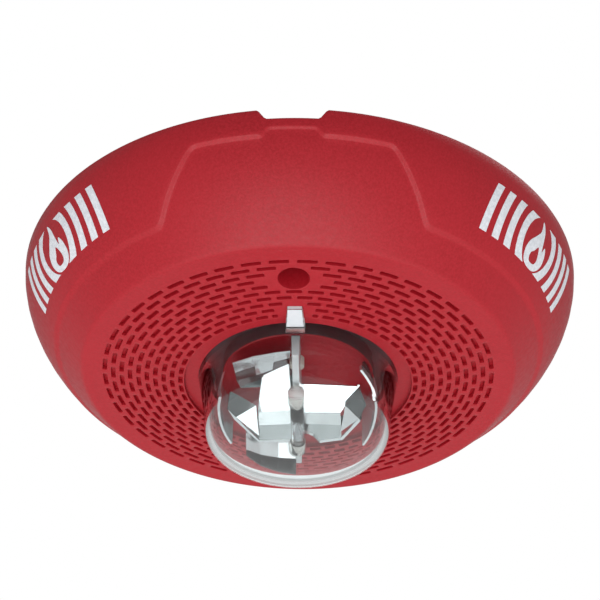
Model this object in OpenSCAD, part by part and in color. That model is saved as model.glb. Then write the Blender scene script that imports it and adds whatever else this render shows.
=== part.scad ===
// Round ceiling horn strobe: a mounting plate, and a head that hooks on it and is held by one
// captive screw. Millimetres. The origin is the centre of the plate's ceiling face, +Z points
// up into the ceiling, the lens points down, and -Y is the side of the screw and the window.

/* [Housing] */
// Largest radius, at the rim
rim_r = 86.4; // [80:0.1:95]
// Gap between the ceiling and the rim
rim_gap = 1.5; // [1.2:0.1:2.5]
// Radius of the edge where the side wall meets the face
face_r = 66.2; // [64:0.1:70]
// Height of the side wall, rim to face
wall_h = 33.7; // [30:0.1:38]
// How fast the side wall curls in: 1 is a cone, 2 is a parabola
wall_curl = 1.9; // [1.6:0.05:2.2]
// Wall thickness of the moulding
wall_t = 2.5; // [2:0.1:3]
// How far the lettering band stands proud of the side wall
band_proud = 1; // [0.5:0.1:1.5]
// Lower edge of the band at the sides, below the rim
band_deep = 25.5; // [20:0.5:28]
// Lower edge of the band above the screw and opposite it, below the rim
band_shallow = 8.4; // [6:0.2:12]
// Half width of the rim notch, as an angle
notch_angle = 6; // [4:0.5:8]
// Depth of the rim notch
notch_h = 2.85; // [2:0.05:3.5]

/* [Grille] */
// Number of concentric rows of slots
row_count = 10; // [6:1:11]
// Number of slots in a full row
slot_count = 46; // [40:1:48]
// Middle radius of the innermost row
row_r = 36; // [36:0.1:38]
// Distance between rows
row_pitch = 2.58; // [2.4:0.02:2.6]
// Radial width of a slot
slot_w = 1.3; // [1:0.1:1.5]
// Share of the pitch that a slot takes
slot_share = 0.72; // [0.6:0.02:0.8]

/* [Strobe] */
// Lens radius at its foot
lens_r = 30.4; // [29:0.1:31]
// Lens radius where the dome starts to close
lens_neck_r = 28.2; // [27:0.1:29]
// Depth of the lens below the ceiling
lens_tip = 62; // [60:0.5:64]
// Lens wall thickness
lens_t = 1.8; // [1.5:0.1:2.2]
// How full the dome is: 1 is half an ellipse, less is boxier
dome_power = 0.5; // [0.4:0.05:1]
// Flash tube radius
tube_r = 2; // [1.5:0.1:2.5]
// Flash tube length
tube_l = 30; // [26:1:32]

/* [Mounting plate] */
// Plate radius
plate_r = 80; // [76:0.5:80.5]
// Plate thickness
plate_t = 2.5; // [2:0.1:3]
// Spacing of the two slots for a single-gang box
gang_spacing = 83.3; // [80:0.1:86]
// Spacing of the two slots for an octagonal box
octagon_spacing = 88.9; // [86:0.1:92]
// Width of the double-gang pattern
double_gang_w = 46; // [44:0.1:48]
// Radius of every fixing hole and half width of every slot
fixing_r = 2.3; // [2:0.1:2.6]

/* [Lock screw] */
// Distance of the screw from the centre
screw_y = 52; // [51:0.1:53]
// Radius of the access well in the face
well_r = 4.6; // [4.5:0.1:5]
// Radius of the threaded shank
shank_r = 1.75; // [1.5:0.05:2]

/* [Hidden] */
$fn = 96;
eps = 0.01;
gap = 0.3;

// Levels, all negative because the ceiling is at zero
rim_z = -rim_gap;
face_z = rim_z - wall_h;
cone_r = row_r + (row_count - 0.5) * row_pitch;
recess_r = row_r - 1.2;
cone_z = face_z - 2.2;
floor_z = cone_z + 1.5;
cover_z = -13.5;
cover_t = 2;
board_z = -17.6;
board_t = 1.6;
board_top = board_z + board_t;
hinge_y = 80.6;
hinge_z = -5;
hook_r = 1.2;
hook_x = [-10, 10];

// Side wall under the band: radius at a given depth below the rim, and its outline from the top
wall_steps = 12;
wall_top_r = rim_r - band_proud;
function wall_r(depth) = wall_top_r - (wall_top_r - face_r) * pow(depth / wall_h, wall_curl);
function wall_line(inset, deepest) =
    [for (i = [0 : wall_steps]) let (d = deepest * i / wall_steps) [wall_r(d) - inset, rim_z - d]];

well_seat_z = -21;
well_seat_t = 1.8;
retainer_z = -12.6;
well_wall = 2;
boss_z = -9;
insert_r = 3.2;
post_r = 3.6;
cover_post_r = 71.5;
cover_post_z = -24;
cover_r = 79.5;
cover_post_angles = [45, 135, 225, 315];
board_post_r = 57;
board_post_angles = [350, 165, 225];
window_y0 = 30;
window_y1 = 40.2;
window_w = 5.8;

pocket_count = 12;
pocket_step = 360 / pocket_count;
pocket_inner_r = 60;
pocket_outer_r = 75.5;
pocket_depth = 1;

terminal_x = [-16.5, -5.5, 5.5, 16.5];
block_y = -14;
block_z = -9.5;
clip_y = -20.5;
blade_w = 5;
blade_t = 0.8;
blade_tip = -4.6;

sounder_x = 42;
sounder_y = 22;
sounder_r = 16;
chamber_z = -32.1;
piezo_z = -28.9;
switch_y = -36;
slider_travel = 4.5;
tone_x = 34;
tone_y = -32;
tube_z = -50.5;

module ring(outer, inner, z0, z1) {
    translate([0, 0, z0])
        difference() {
            cylinder(r = outer, h = z1 - z0);
            translate([0, 0, -1]) cylinder(r = inner, h = z1 - z0 + 2);
        }
}

module rod(x, y, r, z0, z1) {
    translate([x, y, z0]) cylinder(r = r, h = z1 - z0);
}

module block(x0, x1, y0, y1, z0, z1) {
    translate([x0, y0, z0]) cube([x1 - x0, y1 - y0, z1 - z0]);
}

// Pie slice about the Z axis, from angle a0 to a1, less than half a turn
module slice(a0, a1, r, z0, z1) {
    mid = (a0 + a1) / 2;
    far = r / cos((a1 - a0) / 2) + 1;
    points = [[0, 0], far * [cos(a0), sin(a0)], far * [cos(mid), sin(mid)], far * [cos(a1), sin(a1)]];
    translate([0, 0, z0]) linear_extrude(z1 - z0) polygon(points);
}

// A hole that is long along X, or along Y after a quarter turn
module slot_hole(length, r, z0, z1) {
    half = length / 2 - r;
    block(-half, half, -r, r, z0, z1);
    for (x = [-half, half]) rod(x, 0, r, z0, z1);
}

// Mounting plate -----------------------------------------------------------------------------

module hook_ledges() {
    for (x = hook_x)
        block(x - 4, x + 4, 76.5, hinge_y + 0.1, hinge_z - 2.6, -plate_t + eps);
}

// Open to the top, so that the head's beads drop in
module hook_grooves() {
    for (x = hook_x) {
        translate([x - 5, hinge_y, hinge_z])
            rotate([0, 90, 0]) cylinder(r = hook_r + gap, h = 10);
        block(x - 5, x + 5, hinge_y - hook_r - gap, hinge_y + 1, hinge_z, 1);
    }
}

module mounting_plate() {
    color("whitesmoke")
        difference() {
            union() {
                translate([0, 0, -plate_t]) cylinder(r = plate_r, h = plate_t);
                ring(plate_r, plate_r - 2, -4.5, -plate_t + eps);
                ring(58, 56.4, -4.2, -plate_t + eps);
                rod(0, -screw_y, 5.2, boss_z, -plate_t + eps);
                hook_ledges();
            }
            // wiring window
            block(-19, 19, 3, 29, -10, 1);
            // field fixing holes
            for (y = [-1, 1] * gang_spacing / 2)
                translate([0, y, 0]) rotate(90) slot_hole(11, fixing_r, -12, 1);
            for (x = [-1, 1] * octagon_spacing / 2)
                translate([x, 0, 0]) slot_hole(11, fixing_r, -12, 1);
            for (x = [-1, 1] * double_gang_w / 2, y = [-1, 1] * gang_spacing / 2)
                rod(x, y, fixing_r, -12, 1);
            hook_grooves();
            // seat of the brass insert
            rod(0, -screw_y, insert_r + 0.05, boss_z - 1, -1.5);
            // shallow coring of the ceiling face, between the ribs
            for (i = [0 : pocket_count - 1])
                intersection() {
                    ring(pocket_outer_r, pocket_inner_r, -pocket_depth, 1);
                    slice(i * pocket_step + 4, (i + 1) * pocket_step - 4, 100, -2, 2);
                }
        }
}

module lock_insert() {
    color("goldenrod")
        translate([0, -screw_y, 0]) {
            ring(insert_r, shank_r + 0.35, boss_z - 0.3, -1.6);
            ring(insert_r + 1.2, shank_r + 0.35, boss_z - 0.6, boss_z);
        }
}

module terminal_block() {
    color("dimgray")
        difference() {
            block(-22.5, 22.5, block_y - 13, block_y + 6, block_z, -plate_t);
            for (x = terminal_x) {
                // clamp pocket, open to the wiring window
                block(x - 3.6, x + 3.6, block_y - 3.6, block_y + 7, block_z - 1, block_z + 3);
                rod(x, block_y, 1.7, block_z, -3.6);
                // socket for the head's blade
                block(x - 1.7, x + 1.7, clip_y - 3.3, clip_y + 3.3, block_z - 1, -3.6);
            }
        }
}

module terminal_screws() {
    color("silver")
        for (x = terminal_x)
            difference() {
                union() {
                    rod(x, block_y, 2.7, block_z + 0.1, block_z + 1.9);
                    rod(x, block_y, 1.5, block_z + 1.8, -4.2);
                }
                block(x - 3, x + 3, block_y - 0.4, block_y + 0.4, block_z - 1, block_z + 0.9);
            }
}

module terminal_clamps() {
    color("gold")
        for (x = terminal_x)
            difference() {
                block(x - 3.3, x + 3.3, block_y - 3.3, block_y + 4, block_z + 1.95, block_z + 2.8);
                rod(x, block_y, 1.65, block_z, -4);
            }
}

module terminal_clips() {
    color("gold")
        for (x = terminal_x)
            difference() {
                block(x - 1.6, x + 1.6, clip_y - 2.9, clip_y + 2.9, block_z + 0.2, -3.7);
                block(x - 1.1, x + 1.1, clip_y - 4, clip_y + 4, block_z - 1, -4.2);
            }
}

module shorting_spring() {
    profile = [[-9, -9.5], [-3, -9.5], [0, -10.5], [3, -9.5], [9, -9.5],
               [9, -9.9], [3.2, -9.9], [0, -10.9], [-3.2, -9.9], [-9, -9.9]];
    color("silver")
        translate([0, block_y - 10.6, 0])
            rotate([90, 0, 0]) linear_extrude(1.6) polygon(profile);
}

// Housing ------------------------------------------------------------------------------------

// The proud band that carries the marks, all round, from the rim down to a given depth
module band_body(depth) {
    outer = wall_line(-band_proud, depth);
    inner = wall_line(wall_t / 2, depth);
    rotate_extrude() polygon(concat(outer, [for (i = [wall_steps : -1 : 0]) inner[i]]));
}

module housing_shell() {
    outer = concat(wall_line(0, wall_h), [[cone_r, face_z], [recess_r, cone_z]]);
    recess = [[recess_r, floor_z], [0, floor_z], [0, floor_z + wall_t]];
    face_inside = [[recess_r + 1, floor_z + wall_t], [cone_r, face_z + wall_t]];
    wall_inside = wall_line(wall_t, wall_h - wall_t);
    rotate_extrude()
        polygon(concat(outer, recess, face_inside,
                       [for (i = [wall_steps : -1 : 0]) wall_inside[i]]));
}

// The slots in front of the sounder are open; the blind ones of the pattern are surface detail
module grille_slots() {
    step = 360 / slot_count;
    for (row = [0 : row_count - 1], i = [0 : slot_count - 1]) {
        r = row_r + row * row_pitch;
        angle = 270 + (i + (row % 2) / 2) * step;
        from_sounder = norm([r * cos(angle) - sounder_x, r * sin(angle) - sounder_y]);
        length = r * step * slot_share * PI / 180;
        if (from_sounder < sounder_r)
            rotate(angle) translate([r - slot_w / 2, -length / 2, cone_z - 1])
                cube([slot_w, length, 12]);
    }
}

module screw_well() {
    translate([0, -screw_y, 0]) {
        ring(well_r + well_wall, well_r, face_z - 0.4, well_seat_z);
        ring(well_r + well_wall, shank_r + 0.4, well_seat_z - eps, well_seat_z + well_seat_t);
    }
}

module housing_posts() {
    for (a = cover_post_angles) {
        post = cover_post_r * [cos(a), sin(a)];
        rod(post[0], post[1], post_r, cover_post_z, cover_z);
    }
    for (a = board_post_angles) {
        post = board_post_r * [cos(a), sin(a)];
        rod(post[0], post[1], 3, face_z + 1.5, board_z);
    }
}

module hook_bead() {
    for (x = hook_x) {
        translate([x - 4.4, hinge_y, hinge_z]) rotate([0, 90, 0]) cylinder(r = hook_r, h = 8.8);
        block(x - 4.4, x + 4.4, hinge_y, 82.9, hinge_z - 0.9, hinge_z + 0.9);
    }
}

module housing() {
    color("crimson")
        difference() {
            union() {
                housing_shell();
                band_body(band_shallow);
                // the band is deep at both sides, and its lower edge rises over each notch
                difference() {
                    band_body(band_deep);
                    for (mid = [90, 270])
                        slice(mid - 26, mid + 26, 100, rim_z - band_deep - 1, rim_z - band_shallow);
                }
                screw_well();
                housing_posts();
                hook_bead();
            }
            grille_slots();
            // access hole of the lock screw
            rod(0, -screw_y, well_r, face_z - 5, well_seat_z);
            rod(0, -screw_y, shank_r + 0.4, well_seat_z - 1, -10);
            // notches in the rim
            for (mid = [90, 270])
                slice(mid - notch_angle, mid + notch_angle, 100, rim_z - notch_h, 1);
            // opening for the reflector, and window opening
            block(-22.4, 22.4, -18, 18, floor_z - 1, floor_z + 4);
            block(-2, 2, -window_y1 + 0.6, -window_y0 - 1.6, cone_z - 2, cone_z + 8);
            // bores for the screws
            for (a = cover_post_angles)
                rod(cover_post_r * cos(a), cover_post_r * sin(a), 1.5, -22, -10);
            for (a = board_post_angles)
                rod(board_post_r * cos(a), board_post_r * sin(a), 1.2, -28, -10);
        }
}

// Strobe -------------------------------------------------------------------------------------

// Lens outline: a tapering wall, then a quarter of a flattened dome
lens_foot_z = floor_z;
neck_z = -49;
dome_steps = 16;
function dome_line(r, z) =
    [for (i = [0 : dome_steps]) let (a = 90 * i / dome_steps)
        [r * pow(cos(a), dome_power), neck_z - (neck_z - z) * pow(sin(a), dome_power)]];

module lens() {
    outer = concat([[lens_r, lens_foot_z]], dome_line(lens_neck_r, -lens_tip));
    inner_dome = dome_line(lens_neck_r - lens_t, -lens_tip + lens_t);
    inner = concat([for (i = [dome_steps : -1 : 0]) inner_dome[i]], [[lens_r - lens_t, lens_foot_z]]);
    wedge = [[window_y0 - 1.4, lens_foot_z], [recess_r - 0.2, lens_foot_z],
             [recess_r - 0.2, cone_z - 0.05], [window_y1, cone_z - 0.05], [window_y1, cone_z - 0.8],
             [window_y0 + 4, cone_z - 2.2], [window_y0 - 1.4, cone_z - 2.2]];
    color("lightcyan", 0.4) {
        rotate_extrude() polygon(concat(outer, inner));
        intersection() {
            rotate([0, 0, -90]) rotate([90, 0, 0]) translate([0, 0, -window_w / 2])
                linear_extrude(window_w) polygon(wedge);
            ring(window_y1 + 1, lens_r - lens_t + 0.4, -60, -20);
        }
    }
}

// Bright moulding: a floor plate, two curved cheeks and a web under the tube
module reflector() {
    color("gainsboro")
        difference() {
            union() {
                block(-22, 22, -17.6, 17.6, floor_z - 0.8, floor_z + 1);
                difference() {
                    rod(0, 0, 24.5, -50, floor_z - 0.7);
                    rod(0, 0, 22.9, -51, floor_z);
                    block(-30, 30, -30, -6, -60, floor_z - 0.8);
                    block(-10, 10, 0, 30, -60, floor_z - 0.8);
                }
                block(-1, 1, -18, 18, tube_z + tube_r + 0.6, floor_z - 0.7);
            }
            for (y = [-1, 1] * (tube_l / 2 - 2.5)) rod(0, y, 2.3, -60, -20);
        }
}

module flash_tube() {
    color("azure", 0.5)
        translate([0, tube_l / 2 - 5.2, tube_z]) rotate([90, 0, 0])
            difference() {
                cylinder(r = tube_r, h = tube_l - 10.4);
                translate([0, 0, -1]) cylinder(r = tube_r - 0.6, h = tube_l);
            }
}

module tube_caps() {
    color("silver")
        for (side = [-1, 1]) {
            translate([0, side * (tube_l / 2 - 2.6) + 2.5, tube_z]) rotate([90, 0, 0])
                cylinder(r = tube_r + 0.4, h = 5);
            rod(0, side * (tube_l / 2 - 2.5), 0.6, tube_z, board_z);
        }
}

module tube_grommets() {
    color("ivory")
        for (side = [-1, 1])
            translate([0, side * (tube_l / 2 - 2.5), 0]) ring(2.2, 0.7, floor_z - 4, floor_z + 3);
}

module trigger_coil() {
    color("darkorange") {
        rod(-20, -27, 4.5, board_z - 7.5, board_z);
        rod(-20, -27, 5.4, board_z - 8.3, board_z - 7.4);
    }
}

// Electronics --------------------------------------------------------------------------------

module circuit_board() {
    color("darkgreen")
        difference() {
            translate([0, 0, board_z]) cylinder(r = 64, h = board_t);
            rod(0, -screw_y, well_r + well_wall + 0.6, -30, -10);
            block(-slider_travel - 2.6, slider_travel + 2.6, switch_y - 1.3, switch_y + 1.3, -30, -10);
            for (a = board_post_angles)
                rod(board_post_r * cos(a), board_post_r * sin(a), 1.5, -30, -10);
            for (side = [-1, 1]) rod(0, side * (tube_l / 2 - 2.5), 0.65, -30, -10);
        }
}

module flash_capacitor() {
    color("midnightblue")
        translate([-44, 16, board_z - 7.1]) rotate([90, 0, 0]) cylinder(r = 7, h = 32);
}

module filter_capacitors() {
    color("slategray")
        for (place = [[-22, 38], [-8, 44], [6, 44]]) rod(place[0], place[1], 4, board_z - 11, board_z);
}

module boost_inductor() {
    color("saddlebrown")
        translate([30, -12, 0]) {
            ring(6.5, 2.4, board_z - 6.5, board_z - 1.2);
            ring(7.5, 2.4, board_z - 1.2 - eps, board_z);
        }
}

module control_chips() {
    color("black")
        for (place = [[-26, 5, 8, 6], [16, 30, 5, 5], [-27, -10, 6, 5]])
            block(place[0] - place[2], place[0] + place[2], place[1] - place[3], place[1] + place[3],
                  board_z - 2, board_z);
}

module sounder_chamber() {
    color("dimgray")
        translate([sounder_x, sounder_y, 0]) {
            ring(sounder_r + 1.6, sounder_r - 1.4, chamber_z, piezo_z - 0.05);
            ring(sounder_r + 1.6, sounder_r + 0.2, piezo_z - 0.05 - eps, piezo_z + 4);
        }
}

module sounder_cap() {
    color("dimgray")
        difference() {
            translate([sounder_x, sounder_y, 0]) {
                translate([0, 0, piezo_z + 4.05]) cylinder(r = sounder_r + 1.6, h = 1.6);
                ring(sounder_r, sounder_r - 1.2, piezo_z + 0.5, piezo_z + 4.05 + eps);
            }
            for (x = [-6, 6]) rod(sounder_x + x, sounder_y, 1.2, -30, -20);
        }
}

module piezo_plate() {
    color("goldenrod") rod(sounder_x, sounder_y, sounder_r, piezo_z, piezo_z + 0.3);
}

module piezo_ceramic() {
    color("snow") rod(sounder_x, sounder_y, sounder_r - 5, piezo_z + 0.3, piezo_z + 0.55);
}

module sounder_contacts() {
    color("gold")
        for (x = [-6, 6]) rod(sounder_x + x, sounder_y, 0.8, piezo_z + 0.55, board_z);
}

module dust_screen() {
    lift = wall_t + 0.1;
    color("black")
        difference() {
            rotate_extrude()
                polygon([[cone_r, face_z + lift], [recess_r + 1.2, floor_z + lift],
                         [recess_r + 1.2, floor_z + lift + 0.4], [cone_r, face_z + lift + 0.4]]);
            rod(0, -screw_y, well_r + well_wall + 0.4, -40, -20);
            block(-slider_travel - 8, slider_travel + 8, -42, -30, -40, -20);
            for (a = board_post_angles)
                rod(board_post_r * cos(a), board_post_r * sin(a), 3.4, -40, -20);
        }
}

module rear_cover() {
    color("gray")
        difference() {
            union() {
                translate([0, 0, cover_z]) cylinder(r = cover_r, h = cover_t);
                ring(62, 60.4, cover_z, cover_z + cover_t + 1.2);
            }
            rod(0, -screw_y, well_r + well_wall, -20, -5);
            for (x = terminal_x) block(x - 1, x + 1, clip_y - 3.2, clip_y + 3.2, -20, -5);
            block(-slider_travel - 2.6, slider_travel + 2.6, switch_y - 2.1, switch_y + 2.1, -20, -5);
            rod(tone_x, tone_y, 4.2, -20, -5);
            for (a = cover_post_angles) rod(cover_post_r * cos(a), cover_post_r * sin(a), 1.7, -20, -5);
        }
}

module cover_screws() {
    color("silver")
        for (a = cover_post_angles)
            translate([cover_post_r * cos(a), cover_post_r * sin(a), 0])
                difference() {
                    union() {
                        rod(0, 0, 1.45, -21, cover_z + cover_t + eps);
                        rod(0, 0, 3, cover_z + cover_t, cover_z + cover_t + 1.8);
                    }
                    for (turn = [0, 90])
                        rotate(turn) block(-1.8, 1.8, -0.35, 0.35, cover_z + cover_t + 0.8, 0);
                }
}

module blade_header() {
    color("black")
        difference() {
            block(-21, 21, clip_y - 4, clip_y + 4, board_top, cover_z - 0.1);
            for (x = terminal_x)
                block(x - blade_t / 2 - 0.05, x + blade_t / 2 + 0.05, clip_y - blade_w / 2 - 0.05,
                      clip_y + blade_w / 2 + 0.05, board_top - 1, 0);
        }
}

module contact_blades() {
    color("gold")
        for (x = terminal_x)
            block(x - blade_t / 2, x + blade_t / 2, clip_y - blade_w / 2, clip_y + blade_w / 2,
                  board_top, blade_tip);
}

module board_screws() {
    color("silver")
        for (a = board_post_angles)
            translate([board_post_r * cos(a), board_post_r * sin(a), 0])
                difference() {
                    union() {
                        rod(0, 0, 1.15, -26, board_top + eps);
                        rod(0, 0, 2.6, board_top, board_top + 1.6);
                    }
                    for (turn = [0, 90]) rotate(turn) block(-1.6, 1.6, -0.3, 0.3, board_top + 0.7, 0);
                }
}

// Controls -----------------------------------------------------------------------------------

module candela_switch() {
    color("black")
        difference() {
            block(-11, 11, switch_y - 3.6, switch_y + 3.6, board_top, cover_z - 0.2);
            block(-slider_travel - 2.6, slider_travel + 2.6, switch_y - 1.3, switch_y + 1.3, -30, -10);
        }
}

// Thumb piece at the back, stem through the board, and a flag behind the window
module candela_slider() {
    color("white") {
        block(-2, 2, switch_y - 1.6, switch_y + 1.6, cover_z + 0.2, cover_z + cover_t + 0.9);
        block(-2, 2, switch_y - 0.9, switch_y + 0.9, floor_z + wall_t + 1, cover_z + 0.2 + eps);
        block(-7, 7, switch_y - 1.5, switch_y + 4, floor_z + wall_t + 0.3, floor_z + wall_t + 1 + eps);
    }
}

module tone_switch() {
    color("navy")
        difference() {
            block(tone_x - 5.5, tone_x + 5.5, tone_y - 5.5, tone_y + 5.5, board_top, cover_z - 0.2);
            rod(tone_x, tone_y, 3.8, board_top + 1, 0);
        }
}

module tone_rotor() {
    color("white")
        difference() {
            rod(tone_x, tone_y, 3.5, board_top + 1.3, cover_z + cover_t + 0.6);
            block(tone_x - 2.6, tone_x + 2.6, tone_y - 0.5, tone_y + 0.5, cover_z + cover_t - 0.6, 0);
            rod(tone_x + 2.4, tone_y, 0.7, cover_z + cover_t - 0.6, 0);
        }
}

module screw_retainer() {
    color("ivory") translate([0, -screw_y, 0]) ring(3, shank_r + 0.05, retainer_z, retainer_z + 0.8);
}

// Pan head with a cross recess, plain neck and shank
module lock_screw() {
    color("silver")
        translate([0, -screw_y, 0])
            difference() {
                union() {
                    rod(0, 0, 3.6, well_seat_z - 3, well_seat_z - 0.1);
                    rod(0, 0, shank_r, well_seat_z - 0.2, -4.6);
                    translate([0, 0, -4.6 - eps]) cylinder(r1 = shank_r, r2 = shank_r - 0.5, h = 0.8);
                }
                for (turn = [0, 90])
                    rotate(turn) block(-2.3, 2.3, -0.5, 0.5, well_seat_z - 4, well_seat_z - 1.4);
            }
}

mounting_plate();
lock_insert();
terminal_block();
terminal_screws();
terminal_clamps();
terminal_clips();
shorting_spring();
housing();
lens();
reflector();
flash_tube();
tube_caps();
tube_grommets();
trigger_coil();
circuit_board();
flash_capacitor();
filter_capacitors();
boost_inductor();
control_chips();
sounder_chamber();
sounder_cap();
piezo_plate();
piezo_ceramic();
sounder_contacts();
dust_screen();
rear_cover();
cover_screws();
blade_header();
contact_blades();
board_screws();
candela_switch();
candela_slider();
tone_switch();
tone_rotor();
screw_retainer();
lock_screw();
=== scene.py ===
"""Looks of a round ceiling horn strobe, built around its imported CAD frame.

The origin is the centre of the plate's ceiling face, +Z points up into the ceiling and the lens
points down. Shapes are worked out in millimetres and turned to metres when a piece is made.
Angles are degrees about Z; 270 is the side of the lock screw and the window.
"""
import math

import bmesh
import bpy
from mathutils import Matrix, Vector, geometry


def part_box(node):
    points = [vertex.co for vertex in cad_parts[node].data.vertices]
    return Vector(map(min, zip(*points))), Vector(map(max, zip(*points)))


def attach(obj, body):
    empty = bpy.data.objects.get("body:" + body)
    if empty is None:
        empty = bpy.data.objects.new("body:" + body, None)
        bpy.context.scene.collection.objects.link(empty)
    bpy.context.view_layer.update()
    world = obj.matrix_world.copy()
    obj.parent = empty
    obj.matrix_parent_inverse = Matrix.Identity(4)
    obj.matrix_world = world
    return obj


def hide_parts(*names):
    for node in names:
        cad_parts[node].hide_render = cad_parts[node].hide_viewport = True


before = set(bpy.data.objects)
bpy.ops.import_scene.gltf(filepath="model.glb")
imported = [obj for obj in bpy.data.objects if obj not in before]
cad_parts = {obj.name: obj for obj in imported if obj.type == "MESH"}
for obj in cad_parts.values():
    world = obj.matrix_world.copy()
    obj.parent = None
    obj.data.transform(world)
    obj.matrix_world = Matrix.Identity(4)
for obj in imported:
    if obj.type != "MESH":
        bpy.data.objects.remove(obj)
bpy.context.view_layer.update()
MM = 0.001


def corners(node):
    """Lowest and highest corner of a CAD node, in millimetres."""
    low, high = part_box(node)
    return low / MM, high / MM


# Driving sizes, in millimetres ----------------------------------------------------------------

# Points closer than this are one point, in a piece made here and in a CAD node
MERGE = 0.002
WELD = 0.004

HOUSING_LOW, HOUSING_HIGH = corners("housing")
LENS_LOW, LENS_HIGH = corners("lens")
SCREW_LOW, SCREW_HIGH = corners("lock_screw")
RIM_R = HOUSING_HIGH.x
RIM_Z = HOUSING_HIGH.z
CONE_Z = HOUSING_LOW.z
FLOOR_Z = LENS_HIGH.z

# Side wall, from the rim down to the face. Rows count the points of one section, and the arc
# share is where the middle point of the rim's rounded lip stands.
CONE_DROP = 2.2
FACE_Z = CONE_Z + CONE_DROP
FACE_R = 66.2
WALL_H = RIM_Z - FACE_Z
WALL_T = 2.5
WALL_CURL = 1.9
WALL_COLUMNS = 736
LIP = 0.5
ARC_SHARE = 0.3
CORNER = 0.8
INNER_ROWS = 9
BAND_ROWS = 8
CREASE_ROWS = 6
LOWER_ROWS = 14
CORNER_ROWS = 5

# Band round the rim: deep at the marks, shallow at the notches, sloping between two angles
BAND_PROUD = 1.0
BAND_DEEP = 25.5
BAND_SHALLOW = 8.4
TOP_R = RIM_R - BAND_PROUD
CREASE_HALF = 0.55
RAMP_START = 19.8
RAMP_END = 30.3
RAMP_SOFT_TOP = 1.0
RAMP_SOFT_FOOT = 1.3

# Notches in the rim. Floor, lip, pocket and ease values are degrees from the notch's middle.
NOTCH_FLOOR = 5.15
NOTCH_LIP = 6.6
NOTCH_H = 2.85
POCKET_RISE = 2.4
POCKET_HALF = 4.3
POCKET_EASE = 2.0
PROUD_SHARE = 0.55
PROUD_START = 5.2
PROUD_EASE = 1.6

# Grille of slots. Missing slots are row by row, in steps from 270 degrees. The lip's middle is
# where the middle point of a slot's rounded edge stands, and edge rings are insets from the wall.
ROWS = 10
SLOTS = 46
ROW_R = 36.0
ROW_PITCH = 2.58
SLOT_W = 1.3
SLOT_SHARE = 0.72
SLOT_STEP = 360 / SLOTS
SLOT_CORNER = 0.4
SLOT_LIP = 0.15
SLOT_DEPTH = 1.5
SHORT_SLOT = 1.64
LIP_MIDDLE = 0.29
CORNER_POINTS = 5
MISSING = {0: (0,), 1: (-0.5, 0.5), 2: (0,), 5: (-0.5, 0.5), 6: (-1, 0, 1), 7: (-0.5, 0.5), 8: (0,)}
EDGE_RINGS = (1.6, 3.4)
FACE_COLUMNS = 368

# Recess round the lens, its groove and the pedestal inside the groove
CONE_R = ROW_R + (ROWS - 0.5) * ROW_PITCH
RECESS_R = ROW_R - 1.2
SOFT = 0.3
FACE_INNER_R = RECESS_R + SOFT
RING_SLACK = 0.02
GROOVE_R = 30.5
GROOVE_Z = -31.6
GROOVE_T = 0.8
PEDESTAL_R = 24.2
PEDESTAL_WALL = 1.5
INSIDE_WALL = 1
INSIDE_COLUMNS = 92
FLOOR_RINGS = (14, 12)
INSIDE_GAP = 0.6
RING_GAP = 0.01

# Well of the lock screw
WELL = (0, (SCREW_LOW.y + SCREW_HIGH.y) / 2)
WELL_R = 4.6
WELL_LIP = 0.15
WELL_GAP = 0.5
WELL_BORE = 2.15
WELL_T = 2
WELL_FOOT = -26
WELL_COLUMNS = 48
SEAT_Z = -21.0
SEAT_T = 1.8

# Hook beads inside the rim
BEAD_X = 10
BEAD_Y = 80.6
BEAD_Z = -5
BEAD_R = 1.2
BEAD_END_R = 0.8
BEAD_HALF = 4.4
BEAD_WEB = ((80.7, -5.85), (82.8, -5.85), (82.8, -4.15), (80.7, -4.15))

# Marks printed on the band
INK_T = 0.05
INK_SUNK = 0.12
INK_GRID = 0.9
INK_CLEAR = 0.35
MARK_H = 13.7
MARK_DEPTH = 14.0
MARK_MID = 60.2
WAVES = 4
WAVE_R = 7.6
WAVE_PITCH = 5
WAVE_W = 2.7

# Lens and its window tab
LENS_R = LENS_HIGH.x
LENS_TOP_Z = GROOVE_Z - 0.6
LENS_FOOT_Z = FLOOR_Z - 0.9
LENS_NECK_R = LENS_R - 2.2
LENS_NECK_Z = -49.0
LENS_TIP = LENS_LOW.z
LENS_T = 1.8
LENS_COLUMNS = 192
DOME_POWER = 0.5
DOME_STEPS = 28
TAB_BEND = 37.4
TAB_END = 40.15

# Reflector: the painted light of its facets, from painted reflection to painted shade, its levels,
# and the foot of its near wing
PAINTED_BRIGHT, PAINTED_MID, PAINTED_DIM, PAINTED_DARK = 0.95, 0.4, 0.17, 0.03
FACET_T = 0.5
FIN_T = 0.8
ROOT_Z = -36.3
KNEE_Z = -42
FIN_ROOT = (-36.4, -36.4)
WING_FOOT = ((-18.8, 0.6), (-12.6, -2.4), (-7.6, -5.4), (-2.6, -9.2))

# Edge rounding of the CAD nodes
EDGE_ROUND_USUAL = 0.12
EDGE_ROUND = {"mounting_plate": 0.3, "rear_cover": 0.3, "terminal_block": 0.2, "lock_screw": 0.2,
              "flash_capacitor": 0.6, "filter_capacitors": 0.5, "sounder_cap": 0.3}

# Camera, in degrees and millimetres from the middle of the rim
CAMERA_TILT = 36.2825
CAMERA_ROLL = 0.95365
CAMERA_TURN = 1.85
CAMERA_REACH = 634.216
CAMERA_ASIDE = -0.157
CAMERA_BELOW = 3.039

# Studio. Lamps are name, place, aim, size and power. The backdrop is the direction that is lit
# white, and its edge is the cosine between which it fades to the sky.
LAMPS = (("key", (-0.1, -0.75, -0.95), (0, 0, -0.03), 1.1, 4.8),
         ("fill", (0, -0.2, -1.1), (0, 0, 0), 1.6, 7),
         ("top", (0.5, 0.3, 1.2), (0, 0, 0), 1.0, 8))
SKY = 0.38
HORIZON = 0.66
HAZE_TOP = 0.4
BACKDROP = (-0.026, 0.806, 0.592)
BACKDROP_EDGE = (0.93, 0.965)


# Small helpers --------------------------------------------------------------------------------

def clamp(x, low=0.0, high=1.0):
    return max(low, min(high, x))


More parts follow.
